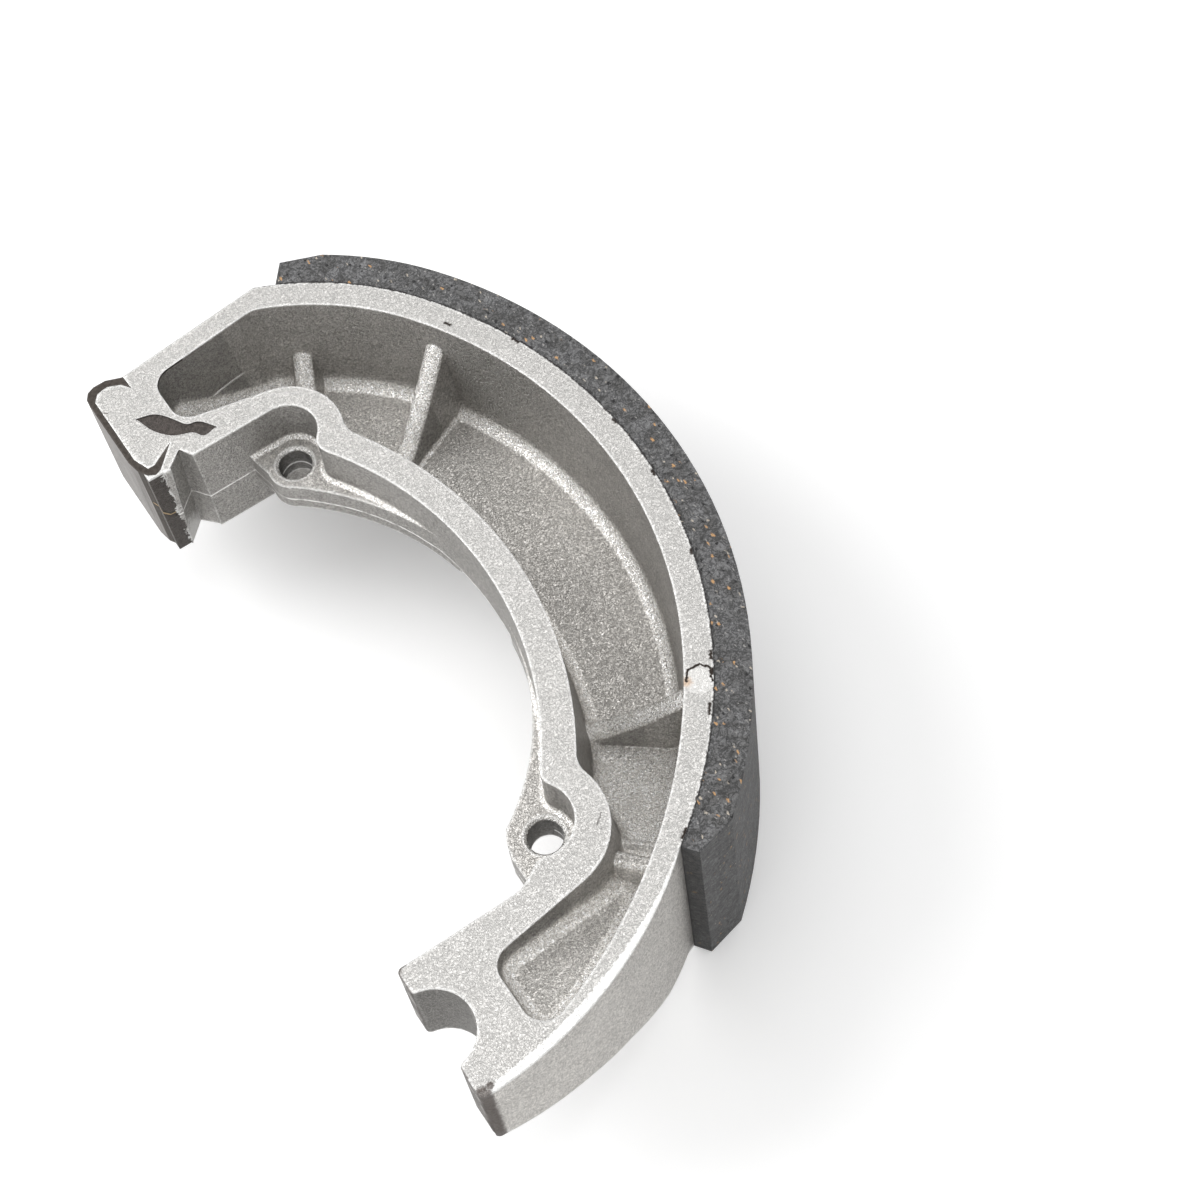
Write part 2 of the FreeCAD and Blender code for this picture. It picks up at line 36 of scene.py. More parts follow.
# shoe sizes that the finishes follow, in millimetres as in the model
TOP_Z = 30.0
R_RIM = 60.5                          # outer face of the rim, which carries the lining
R_HUB_SIDE = 51.5                     # what faces the hub lies inside this radius
PARTING_Z = 20.5
END_FROM = math.radians(33.0)         # from here to the cam end the rim runs on a tighter arc
END_SHIFT = 20.1                      # how far that arc's centre lies from the drum axis
LINING_END_Y = -49.5                  # the lining's end by the pivot
SEAT = (0.6, -51.9, 0.0)              # middle of the anchor pin's seat
SEAT_RADIUS = 4.9
HOLES = ((26.08, 25.1, 0.0), (24.09, -36.82, 0.0))
HOLE_RADIUS = 2.15
LOBE_END_X = 1.0                      # end faces of the two lobes beside the seat
LEG_Y = 29.3                          # side of the cam block that faces the hub
LEG_END = 10.8                        # the steel's side leg shows up to here
BLOCK_FROM_Y = 20.5                   # the cam block lies beyond
LEAF_X = (11.0, 21.25)                # stretch of the leaf-shaped patch
LEAF_FROM_Y = 30.75
CLIMB_Y = (-42.0, -34.0)              # over this stretch the pocket's floor starts to climb to the pivot
CLIMB_TILT = 0.945                    # upward share of the normal, on that climb and on the level floor
LEVEL_TILT = 0.972
EDGE_ROUND = 0.35                     # how far the casting's edges look rounded

# marks on the ground top face, in plan
CHIPS = (                             # x, y, length
    (51.2, -31.7, 1.0), (50.1, -33.6, 0.7), (47.1, -37.4, 1.3), (35.9, -48.5, 1.1),
    (57.3, -18.9, 0.6), (59.9, -7.0, 0.8), (60.3, 2.2, 0.5), (57.0, 19.8, 0.9), (51.4, 27.2, 0.8),
)
STAINS = ((1.4, -61.1, 1.0), (2.6, -60.6, 0.45), (1.0, -43.5, 0.8))     # x, y, radius
PIN_MARK = (48.2, -33.7, 1.75)        # x, y, radius
RUST_SPOT = (46.9, -33.0, 0.6)        # x, y, radius
CRACK = ((46.9, -32.9), (47.9, -31.8), (49.4, -31.9), (50.2, -32.9), (49.4, -34.6))
SCRATCHES = (                         # from x, y to x, y
    (28.6, -41.9, 29.7, -41.0), (1.4, -43.7, 5.2, -43.35),
    (13.2, -57.1, 16.4, -53.2), (8.7, 42.2, 9.5, 41.5),
)
BRASS = ((8.6, 22.9), (9.7, 21.4), (10.5, 21.3), (11.4, 21.5))          # x, height

# colours of the aluminium and of what marks it
CAST_DARK = (0.575, 0.556, 0.529, 1)
CAST_LIGHT = (0.675, 0.655, 0.627, 1)
GROUND_DARK = (0.50, 0.49, 0.475, 1)
GROUND_LIGHT = (0.615, 0.603, 0.585, 1)
# bright burr and worn metal, also the painted edge and ring highlights
BURR_AND_GLINT = (0.80, 0.795, 0.78, 1)
# raised seam, near white partly as a painted highlight
SEAM_HIGHLIGHT = (0.96, 0.95, 0.93, 1)
PIN_METAL = (0.76, 0.75, 0.73, 1)
RUST = (0.52, 0.32, 0.17, 1)
NICK = (0.035, 0.028, 0.024, 1)
STAIN = (0.06, 0.045, 0.038, 1)
LOBE_SKIN = (0.10, 0.088, 0.080, 1)
PIT = (0.10, 0.095, 0.09, 1)
RIM_LINE = (0.035, 0.030, 0.028, 1)
LEAF_DARK = (0.050, 0.042, 0.038, 1)
LEAF_LIGHT = (0.105, 0.090, 0.082, 1)

# colours of the lining
RESIN_DARK = (0.070, 0.069, 0.068, 1)
RESIN_LIGHT = (0.150, 0.150, 0.153, 1)
LINING_PIT = (0.008, 0.008, 0.009, 1)
BOND = (0.012, 0.011, 0.011, 1)
SIDE_DARK = (0.045, 0.045, 0.046, 1)
SIDE_LIGHT = (0.13, 0.13, 0.128, 1)
FLECKS = (                            # cells per millimetre, size in cells, share left out, colour
    (0.95, 0.22, 0.62, (0.58, 0.34, 0.16, 1)),
    (1.25, 0.21, 0.70, (0.56, 0.50, 0.42, 1)),
    (2.2, 0.26, 0.76, (0.36, 0.35, 0.34, 1)),
)

# colours of the steel
SCALE_DARK = (0.050, 0.042, 0.036, 1)
SCALE_LIGHT = (0.085, 0.073, 0.064, 1)
BRASS_SHADE = (0.015, 0.012, 0.01, 1)
BRASS_METAL = (0.50, 0.36, 0.20, 1)
RUBBED_DARK = (0.14, 0.130, 0.122, 1)
RUBBED_LIGHT = (0.26, 0.243, 0.232, 1)
# painted edge highlight
STEEL_EDGE_HIGHLIGHT = (0.42, 0.40, 0.38, 1)

# rib by the pivot, millimetres
RIB_FROM = (51.0, math.radians(-57.4))    # radius and direction from the drum axis
RIB_TO = (58.5, math.radians(-56.4))
RIB_BASE = 20.0                       # its underside, sunk in the pocket's floor
RIB_FOOT = 21.8
RIB_CREST = 25.6
RIB_RISE = 0.6                        # how much higher the crest ends at the rim
RIB_ROUND = 1.7                       # half width of the crest
RIB_SPREAD = 6.4                      # width over both feet
RIB_ROWS = 16
RIB_COLUMNS = 24

# camera of the photograph, in the model's frame
CAMERA_AT = Vector((-15.15, -146.6, 275.6)) * MM
CAMERA_TURN = math.radians(25.0)      # from +Y towards +X
CAMERA_DOWN = math.radians(59.98)
CAMERA_ROLL = math.radians(-9.78)
LENS = 72.1
SENSOR = 36.0

# lamps, floor and surround, in metres, watts and strengths
LAMPS = (                             # name, place, width, power
    ("far", (0.16, 0.24, 0.85), 0.9, 2.2),
    ("front", (-0.36, -0.27, 0.76), 0.35, 0.4),
    ("left", (-0.40, 0.36, 0.47), 0.50, 2.9),
)
LAMP_AIM = Vector((0.03, 0, 0))
SURROUND_LIGHT = 0.55                 # what the surround gives to diffuse surfaces
FLOOR_HALF = 2.0
FLOOR_COLOUR = (0.94, 0.94, 0.94, 1)
FLOOR_GLOW = 0.21                     # lifts the floor to white where it is looked at


class Shader:
    """Small helper that adds nodes to one material and links them by name."""

    def __init__(self, name):
        self.material = bpy.data.materials.new(name)
        self.material.use_nodes = True
        self.tree = self.material.node_tree
        self.tree.nodes.clear()
        self.output = self.tree.nodes.new("ShaderNodeOutputMaterial")
        self.surface = self.tree.nodes.new("ShaderNodeBsdfPrincipled")
        self.link(self.surface.outputs["BSDF"], self.output.inputs["Surface"])

    def link(self, source, target):
        self.tree.links.new(source, target)

    def feed(self, value, socket):
        if isinstance(value, bpy.types.NodeSocket):
            self.link(value, socket)
        else:
            socket.default_value = value

    def position(self):
        """Place on the object in millimetres."""
        coords = self.tree.nodes.new("ShaderNodeTexCoord")
        return self.vector("SCALE", coords.outputs["Object"], scale=1 / MM)

    def normal(self):
        return self.tree.nodes.new("ShaderNodeNewGeometry").outputs["Normal"]

    def split(self, vector):
        node = self.tree.nodes.new("ShaderNodeSeparateXYZ")
        self.link(vector, node.inputs[0])
        return node.outputs[0], node.outputs[1], node.outputs[2]

    def join(self, x, y, z):
        node = self.tree.nodes.new("ShaderNodeCombineXYZ")
        for value, socket in zip((x, y, z), node.inputs):
            self.feed(value, socket)
        return node.outputs[0]

    def vector(self, operation, one, two=None, scale=None):
        node = self.tree.nodes.new("ShaderNodeVectorMath")
        node.operation = operation
        self.feed(one, node.inputs[0])
        if two is not None:
            self.feed(two, node.inputs[1])
        if scale is not None:
            self.feed(scale, node.inputs["Scale"])
        return node.outputs["Value" if operation in ("LENGTH", "DISTANCE", "DOT_PRODUCT") else "Vector"]

    def math(self, operation, one, two=None, three=None):
        node = self.tree.nodes.new("ShaderNodeMath")
        node.operation = operation
        for value, socket in zip((one, two, three), node.inputs):
            if value is not None:
                self.feed(value, socket)
        return node.outputs[0]

    def times(self, first, *others):
        for other in others:
            first = self.math("MULTIPLY", first, other)
        return first

    def plus(self, first, *others):
        for other in others:
            first = self.math("ADD", first, other)
        return first

    def most(self, first, *others):
        for other in others:
            first = self.math("MAXIMUM", first, other)
        return first

    def less(self, mask, share):
        """1 outside the mask, and lower by the share on it."""
        return self.math("SUBTRACT", 1.0, self.times(mask, share))

    def above(self, value, limit):
        return self.math("GREATER_THAN", value, limit)

    def swing(self, noise, size):
        """A noise that swings to both sides of zero."""
        return self.times(self.math("SUBTRACT", noise, 0.5), size)

    def ramp(self, value, low, high, start=0.0, end=1.0):
        """Smooth step from start to end while value goes from low to high."""
        node = self.tree.nodes.new("ShaderNodeMapRange")
        node.interpolation_type = "SMOOTHSTEP"
        self.feed(value, node.inputs["Value"])
        self.feed(low, node.inputs["From Min"])
        self.feed(high, node.inputs["From Max"])
        self.feed(start, node.inputs["To Min"])
        self.feed(end, node.inputs["To Max"])
        return node.outputs["Result"]

    def fall(self, value, low, high):
        """1 below low, 0 above high."""
        return self.ramp(value, low, high, 1.0, 0.0)

    def noise(self, position, scale, detail=3.0, roughness=0.55, distortion=0.0):
        """Cloudy noise with so many waves per millimetre."""
        node = self.tree.nodes.new("ShaderNodeTexNoise")
        self.link(position, node.inputs["Vector"])
        node.inputs["Scale"].default_value = scale
        node.inputs["Detail"].default_value = detail
        node.inputs["Roughness"].default_value = roughness
        node.inputs["Distortion"].default_value = distortion
        return node.outputs["Fac"]

    def cells(self, position, scale):
        """Distance from each cell's middle and one random colour per cell, in cells per millimetre."""
        node = self.tree.nodes.new("ShaderNodeTexVoronoi")
        self.link(position, node.inputs["Vector"])
        node.inputs["Scale"].default_value = scale
        return node.outputs["Distance"], node.outputs["Color"]

    def mix(self, factor, one, two):
        """Colour between two colours."""
        node = self.tree.nodes.new("ShaderNodeMix")
        node.data_type = "RGBA"
        self.feed(factor, node.inputs["Factor"])
        self.feed(one, node.inputs[6])
        self.feed(two, node.inputs[7])
        return node.outputs[2]

    def blend(self, factor, one, two):
        """Number between two numbers."""
        node = self.tree.nodes.new("ShaderNodeMix")
        self.feed(factor, node.inputs["Factor"])
        self.feed(one, node.inputs[2])
        self.feed(two, node.inputs[3])
        return node.outputs[0]

    def bump(self, height, depth, normal):
        node = self.tree.nodes.new("ShaderNodeBump")
        node.inputs["Strength"].default_value = 1.0
        node.inputs["Distance"].default_value = depth * MM
        self.link(height, node.inputs["Height"])
        self.link(normal, node.inputs["Normal"])
        return node.outputs["Normal"]

    def soft_edges(self, radius):
        """Normal that turns gently over the edges."""
        node = self.tree.nodes.new("ShaderNodeBevel")
        node.samples = 4
        node.inputs["Radius"].default_value = radius * MM
        return node.outputs["Normal"]

    def backing(self, reach):
        """1 on a face with metal all round behind it, lower along its outer edges."""
        node = self.tree.nodes.new("ShaderNodeAmbientOcclusion")
        node.samples = 8
        node.inside = True
        node.only_local = True
        node.inputs["Distance"].default_value = reach * MM
        return node.outputs["AO"]

    def finish(self, **sockets):
        for name, value in sockets.items():
            self.feed(value, self.surface.inputs[name.replace("_", " ")])
        return self.material


class CastingSpot:
    """What the casting's marks ask about a spot: its place, slope, grain and ragged offsets."""

    def __init__(self, s):
        self.place = s.position()
        self.x, self.y, self.z = s.split(self.place)
        self.plan = s.join(self.x, self.y, 0.0)
        self.radius = s.vector("LENGTH", self.plan)
        to_holes = [s.vector("DISTANCE", self.plan, hole) for hole in HOLES]
        self.to_hole = s.math("MINIMUM", *to_holes)

        self.normal = s.normal()
        self.up = s.split(self.normal)[2]
        self.ground = s.times(s.ramp(self.z, TOP_Z - 0.06, TOP_Z - 0.02), s.ramp(self.up, 0.9, 0.98))
        self.rounded = s.soft_edges(EDGE_ROUND)
        self.tilt = s.split(self.rounded)[2]

        self.grain = s.noise(self.place, 2.8, 2.0, 0.62, 0.6)
        self.specks = s.noise(self.place, 4.6, 2.0, 0.7)
        self.ragged = s.swing(s.noise(self.place, 1.1, 3.0, 0.7), 0.5)
        self.jag = s.swing(s.noise(self.place, 2.4, 3.0, 0.7), 1.0)
        self.torn = s.plus(self.ragged, s.times(self.jag, 0.6))


def worms(s, place, scale, width):
    """Thin wriggling lines where a noise crosses its middle: 0 on them, 1 between them."""
    field = s.noise(place, scale, 1.5, 0.6, 0.9)
    return s.ramp(s.math("ABSOLUTE", s.math("SUBTRACT", field, 0.5)), 0.0, width)


def from_line(s, spot, start, end):
    """Distance from a short line in plan."""
    run = (end[0] - start[0], end[1] - start[1], 0.0)
    from_start = s.vector("SUBTRACT", spot, (start[0], start[1], 0.0))
    share = s.math("DIVIDE", s.vector("DOT_PRODUCT", from_start, run), run[0] ** 2 + run[1] ** 2)
    share = s.math("MINIMUM", s.math("MAXIMUM", share, 0.0), 1.0)
    return s.vector("LENGTH", s.vector("SUBTRACT", from_start, s.vector("SCALE", run, scale=share)))


def from_rim(s, spot):
    """How far a spot in plan lies outside the rim's outer face, on either of its two arcs."""
    ahead = (math.cos(END_FROM), math.sin(END_FROM))
    centre = (ahead[0] * END_SHIFT, ahead[1] * END_SHIFT, 0.0)
    wide = s.math("SUBTRACT", s.vector("LENGTH", spot), R_RIM)
    tight = s.math("SUBTRACT", s.vector("DISTANCE", spot, centre), R_RIM - END_SHIFT)
    beyond = s.above(s.vector("DOT_PRODUCT", spot, (-ahead[1], ahead[0], 0.0)), 0.0)
    return s.blend(beyond, wide, tight)


def blot(s, spot, x, y, radius, soft):
    gap = s.vector("DISTANCE", spot, (x, y, 0.0))
    return s.fall(gap, radius * (1 - soft), radius * (1 + soft))


def chip(s, spot, x, y, length):
    """Short dark nick that follows the rim."""
    size = math.hypot(x, y)
    run = (-y / size * length / 2, x / size * length / 2)
    gap = from_line(s, spot, (x - run[0], y - run[1]), (x + run[0], y + run[1]))
    return s.fall(gap, 0.06, 0.3)


def casting_relief(s, at):
    """Height of the blasted grain with wriggling lines of two sizes."""
    lines = worms(s, at.place, 2.4, 0.09)
    fine = worms(s, at.place, 3.3, 0.15)
    return s.plus(s.times(lines, 0.5), s.times(fine, 0.5), at.grain)


def crests(s, at):
    """1 on rib crests and fillets, 0 on walls and on level floors; it sets a painted highlight on them
    and their lower roughness.
    """
    level_from = s.ramp(at.y, *CLIMB_Y, CLIMB_TILT, LEVEL_TILT)
    return s.times(s.ramp(at.tilt, 0.35, 0.65), s.fall(at.tilt, level_from, s.plus(level_from, 0.02)))


def painted_wall_shade(s, at):
    """Painted light and shade: a brighter outer rim, darker steep walls, darker walls towards the hub
    and in the two holes; also darker in the seat.
    """
    steep = s.fall(at.tilt, 0.3, 0.6)
    shade = s.ramp(at.tilt, 0.15, 0.5, 0.94, 1.0)
    shade = s.times(shade, s.ramp(at.radius, R_RIM - 1.0, R_RIM - 0.5, 1.0, 1.18))
    hubward = s.times(s.fall(at.radius, R_HUB_SIDE, R_HUB_SIDE + 0.5), steep)
    in_seat = s.fall(s.vector("DISTANCE", at.plan, SEAT), SEAT_RADIUS + 0.2, SEAT_RADIUS + 0.7)
    in_hole = s.times(s.fall(at.to_hole, HOLE_RADIUS + 0.05, HOLE_RADIUS + 0.15), steep)
    return s.times(shade, s.less(hubward, 0.25), s.less(in_seat, 0.35), s.less(in_hole, 0.5))


def aluminium_colour(s, at, relief, crest):
    """Blasted skin everywhere, ground metal on the top face; the skin carries painted light and shade
    and a painted highlight on rib crests and fillets.
    """
    broad = s.noise(at.place, 0.09, 3.0, 0.5)
    tone = s.times(s.ramp(relief, 0.65, 1.5, 0.58, 1.16), s.ramp(broad, 0.3, 0.7, 0.94, 1.05))
    cast = s.vector("SCALE", s.mix(s.ramp(at.specks, 0.35, 0.7), CAST_DARK, CAST_LIGHT), scale=tone)
    # painted light and shade on the walls, and a painted highlight on rib crests and fillets
    shade = s.times(painted_wall_shade(s, at), s.math("MULTIPLY_ADD", crest, 0.78, 1.0))
    cast = s.vector("SCALE", cast, scale=shade)
    ground = s.mix(s.ramp(at.specks, 0.3, 0.75), GROUND_DARK, GROUND_LIGHT)
    ground = s.vector("SCALE", ground, scale=s.ramp(relief, 0.65, 1.55, 0.66, 1.12))
    return s.mix(at.ground, cast, ground)


def worn_edges_and_glints(s, at, colour):
    """Bright ragged burr along the edges, partly a painted edge highlight, the worn outer edge by the
    pivot, and painted highlight rings round the holes.
    """
    # partly real burr, partly a painted highlight on the convex edges
    edge = s.fall(s.plus(s.backing(0.7), at.torn), 0.60, 0.74)
    worn = s.ramp(s.plus(at.radius, s.times(at.torn, 1.4)), R_RIM - 0.05, R_RIM + 0.15)
    worn = s.times(worn, s.fall(at.y, LINING_END_Y - 1.0, LINING_END_Y))
    worn = s.times(worn, s.ramp(at.z, TOP_Z - 0.5, TOP_Z - 0.2))
    ring = s.ramp(at.to_hole, HOLE_RADIUS + 0.05, HOLE_RADIUS + 0.15)
    ring = s.times(ring, s.fall(at.to_hole, HOLE_RADIUS + 0.45, HOLE_RADIUS + 0.7))
    ring = s.times(ring, s.ramp(at.tilt, 0.3, 0.5, 0.0, 0.7))
    return s.mix(s.most(s.times(edge, 0.8), worn, ring), colour, BURR_AND_GLINT)


def lobe_skin(s, at, colour):
    """Dark skin left on the two end faces beside the seat."""
    patchy = s.ramp(s.noise(at.place, 0.42, 3.0, 0.6), 0.40, 0.50)
    skin = s.times(s.fall(at.x, LOBE_END_X + 0.06, LOBE_END_X + 0.25), patchy)
    return s.mix(s.times(skin, 0.8), colour, LOBE_SKIN)


def casting_pits(s, at, colour):
    """Sparse dark pits."""
    gap, pick = s.cells(at.place, 0.55)
    pits = s.times(s.fall(gap, 0.03, 0.10), s.above(s.split(pick)[0], 0.75))
    return s.mix(s.times(pits, 0.55), colour, PIT)


def top_marks(s, at, colour):
    """Ejector pin mark with rust and a crack, chips along the lining, scratches and stained lobes."""
    spot = s.vector("ADD", at.plan, s.vector("SCALE", s.join(at.jag, at.ragged, 0.0), scale=0.9))
    disc = s.times(blot(s, spot, *PIN_MARK, 0.06), at.ground)
    colour = s.mix(s.times(disc, 0.45), colour, PIN_METAL)
    rust = s.times(blot(s, spot, *RUST_SPOT, 0.6), at.ground)
    colour = s.mix(s.times(rust, 0.6), colour, RUST)
    crack = [s.fall(from_line(s, spot, one, two), 0.10, 0.2) for one, two in zip(CRACK, CRACK[1:])]
    thin = [s.fall(from_line(s, spot, line[:2], line[2:]), 0.03, 0.16) for line in SCRATCHES]
    nicks = [chip(s, spot, *nick) for nick in CHIPS]
    dark = s.most(*crack, s.times(s.most(*thin), 0.7), *nicks)
    colour = s.mix(s.times(dark, at.ground), colour, NICK)
    stain = s.most(*[blot(s, spot, *stain, 0.3) for stain in STAINS])
    return s.mix(s.times(stain, 0.85), colour, STAIN)


def rim_line(s, at, colour):
    """Ragged dark line on the top face, where the rim meets the lining."""
    outside = s.ramp(s.plus(from_rim(s, at.plan), at.torn), -0.16, 0.02)
    beside_lining = s.times(at.ground, s.ramp(at.y, LINING_END_Y - 0.4, LINING_END_Y))
    return s.mix(s.times(outside, beside_lining, 0.9), colour, RIM_LINE)


def side_leg(s, at):
    """Where the steel's side leg shows, up to a ragged edge of casting metal."""
    ragged = s.swing(s.noise(at.place, 0.45, 4.0, 0.75), 3.2)
    leg = s.fall(s.plus(at.x, ragged), LEG_END - 0.04, LEG_END + 0.04)
    on_block = s.ramp(at.y, BLOCK_FROM_Y - 0.5, BLOCK_FROM_Y + 0.5)
    on_side = s.times(s.fall(at.y, LEG_Y + 1.3, LEG_Y + 1.5), on_block)
    return s.times(leg, on_side, s.fall(at.z, TOP_Z - 0.4, TOP_Z - 0.25))


def leaf_patch(s, at):
    """The shallow leaf-shaped patch in the top face that the grinding left out."""
    shallow = s.times(s.ramp(at.z, TOP_Z - 0.4, TOP_Z - 0.3), s.fall(at.z, TOP_Z - 0.05, TOP_Z - 0.02))
    start, end = LEAF_X
    along = s.times(s.ramp(at.x, start - 0.2, start + 0.2), s.fall(at.x, end - 0.25, end + 0.25))
    return s.times(shallow, along, s.ramp(at.y, LEAF_FROM_Y - 0.25, LEAF_FROM_Y + 0.25))


def parting_seam(s, at, leg):
    """Raised seam left where the two mould halves met, broken here and there, on the hub side only; its
    near-white colour is partly a painted highlight.
    """
    wander = s.swing(s.noise(at.place, 0.25, 2.0), 0.5)
    off = s.math("ABSOLUTE", s.math("SUBTRACT", s.plus(at.z, wander), PARTING_Z))
    inward = s.fall(s.vector("DOT_PRODUCT", at.normal, at.plan), -0.5, 0.0)
    by_hub = s.fall(at.radius, R_HUB_SIDE, R_HUB_SIDE + 0.5)
    seam = s.times(s.fall(off, 0.09, 0.2), inward, by_hub, s.fall(at.up, 0.3, 0.5))
    return s.times(seam, s.ramp(s.noise(at.place, 0.5, 2.0), 0.35, 0.5, 0.3, 1.0), s.less(leg, 1.0))


def casting_finish():
    """Shot-blasted aluminium with a ground top face, its wear, marks and mould seam, with painted light,
    shade and highlights in its colour.
    """
    s = Shader("cast_aluminium")
    at = CastingSpot(s)
    relief = casting_relief(s, at)
    crest = crests(s, at)
    leg = side_leg(s, at)
    patch = leaf_patch(s, at)
    seam = parting_seam(s, at, leg)

    colour = aluminium_colour(s, at, relief, crest)
    colour = worn_edges_and_glints(s, at, colour)
    colour = lobe_skin(s, at, colour)
    colour = casting_pits(s, at, colour)
    colour = top_marks(s, at, colour)
    colour = rim_line(s, at, colour)
    colour = s.mix(leg, colour, steel_scale(s, at.place))
    colour = s.mix(patch, colour, s.mix(s.ramp(at.grain, 0.3, 0.7), LEAF_DARK, LEAF_LIGHT))
    # raised seam with a painted highlight
    colour = s.mix(s.times(seam, 0.9), colour, SEAM_HIGHLIGHT)

    height = s.times(s.plus(relief, s.times(seam, 1.4)), s.blend(at.ground, 0.55, 0.35))
    rough = s.math("SUBTRACT", 0.37, s.times(crest, 0.09))
    rough = s.plus(rough, s.ramp(at.specks, 0.3, 0.7, -0.06, 0.08), s.times(patch, 0.1))
    metal = s.ramp(s.most(patch, leg), 0.0, 1.0, 1.0, 0.2)
    return s.finish(Base_Color=colour, Roughness=rough, Metallic=metal,
                    Normal=s.bump(height, 0.13, at.rounded), Specular_Tint=(0.6, 0.6, 0.6, 1))


def lining_flecks(s, swirl, fine, colour):
    """Brass, pale and grey flecks, drawn out along the lining."""
    stretched = s.vector("MULTIPLY", swirl, (1.2, 0.62, 0.8))
    for scale, size, share, tint in FLECKS:
        gap, pick = s.cells(stretched, scale)
        fleck = s.times(s.fall(gap, size * 0.6, size), s.above(s.split(pick)[0], share))
        colour = s.mix(s.times(fleck, s.ramp(fine, 0.30, 0.45)), colour, tint)
    return colour


def lining_sides(s, place, colour):
    """Ground side faces: finely scratched, with a darker end face and lighter end bevels."""
    x, y = s.split(place)[:2]
    normal = s.normal()
    side = s.fall(s.split(normal)[2], 0.5, 0.8)
    scratch = s.noise(s.vector("MULTIPLY", place, (0.6, 0.6, 3.2)), 1.4, 3.0, 0.6, 0.6)
    scratched = s.mix(s.ramp(scratch, 0.3, 0.7), SIDE_DARK, SIDE_LIGHT)
    colour = s.mix(s.times(side, 0.55), colour, scratched)
    outward = s.math("DIVIDE", s.vector("DOT_PRODUCT", normal, s.join(x, y, 0.0)), R_RIM)
    end = s.times(side, s.fall(outward, 0.1, 0.3))
    bevel = s.times(side, s.times(s.ramp(outward, 0.2, 0.4), s.fall(outward, 0.92, 0.97)))
    return s.vector("SCALE", colour, scale=s.plus(s.less(end, 0.45), s.times(bevel, 0.6)))


def lining_finish():
    """Resin-bonded friction composite: charcoal with blue-grey clouds, brass and mineral flecks."""
    s = Shader("friction_composite")
    place = s.position()
    x, y = s.split(place)[:2]
    clouds = s.noise(place, 0.55, 4.0, 0.6, 0.8)
    fine = s.noise(place, 2.6, 4.0, 0.7, 1.5)
    curls = s.plus(worms(s, place, 1.2, 0.12), worms(s, place, 2.8, 0.16), fine)
    colour = s.mix(s.ramp(clouds, 0.3, 0.7), RESIN_DARK, RESIN_LIGHT)
    colour = s.vector("SCALE", colour, scale=s.ramp(curls, 0.8, 2.4, 0.48, 1.65))

    swirl = s.vector("ADD", place, s.vector("SCALE", s.join(clouds, fine, clouds), scale=1.3))
    colour = lining_flecks(s, swirl, fine, colour)
    gap, pick = s.cells(swirl, 1.1)
    pits = s.times(s.fall(gap, 0.14, 0.28), s.above(s.split(pick)[1], 0.7))
    colour = s.mix(pits, colour, LINING_PIT)

    # dark bond line against the rim
    ragged = s.swing(s.noise(place, 1.6, 3.0, 0.7), 1.2)
    bond = s.fall(s.plus(from_rim(s, s.join(x, y, 0.0)), ragged), 0.05, 0.25)
    colour = s.mix(bond, colour, BOND)
    colour = lining_sides(s, place, colour)

    relief = s.plus(s.times(fine, 0.8), s.times(clouds, 0.5))
    relief = s.math("SUBTRACT", relief, s.times(pits, 0.6))
    return s.finish(Base_Color=colour, Roughness=s.ramp(fine, 0.3, 0.7, 0.62, 0.85),
                    Normal=s.bump(relief, 0.16, s.soft_edges(0.25)))


def steel_scale(s, place):
    """Dark brown rolling scale with the brass line that crosses the steel's side leg."""
    x, y, z = s.split(place)
    patchy = s.ramp(s.noise(place, 2.2, 4.0, 0.65), 0.35, 0.65)
    colour = s.mix(patchy, SCALE_DARK, SCALE_LIGHT)
    wavy = s.swing(s.noise(place, 1.4, 2.0), 0.4)
    spot = s.join(x, s.plus(z, wavy), 0.0)
    gap = from_line(s, spot, BRASS[0], BRASS[1])
    for one, two in zip(BRASS[1:], BRASS[2:]):
        gap = s.math("MINIMUM", gap, from_line(s, spot, one, two))
    on_leg = s.fall(y, LEG_Y + 1.6, LEG_Y + 2.2)
    colour = s.mix(s.times(s.ramp(gap, 0.12, 0.4, 0.8, 0.0), on_leg), colour, BRASS_SHADE)
    return s.mix(s.times(s.fall(gap, 0.05, 0.14), on_leg), colour, BRASS_METAL)


def plate_finish():
    """Dark steel with brushed streaks on the cam face and scale on its sides, and a faint painted
    highlight along its edges.
    """
    s = Shader("dark_steel")
    place = s.position()
    streak = s.noise(s.vector("MULTIPLY", place, (1.0, 1.6, 0.08)), 1.5, 3.0, 0.6)
    scale = s.noise(place, 2.2, 4.0, 0.65)
    broad = s.noise(place, 0.2, 2.0)
    rubbed = s.mix(s.ramp(streak, 0.3, 0.7), RUBBED_DARK, RUBBED_LIGHT)
    rubbed = s.vector("SCALE", rubbed, scale=s.ramp(broad, 0.3, 0.7, 0.85, 1.12))
    cam_face = s.fall(s.split(s.normal())[0], -0.98, -0.9)
    colour = s.mix(cam_face, steel_scale(s, place), rubbed)
    # painted highlight along the plate's edges
    edge = s.fall(s.backing(0.5), 0.5, 0.8)
    colour = s.mix(s.times(edge, 0.12), colour, STEEL_EDGE_HIGHLIGHT)
    relief = s.plus(scale, streak)
    return s.finish(Base_Color=colour, Roughness=s.ramp(relief, 0.6, 1.4, 0.34, 0.52),
                    Normal=s.bump(relief, 0.03, s.soft_edges(0.3)), Specular_IOR_Level=0.1)


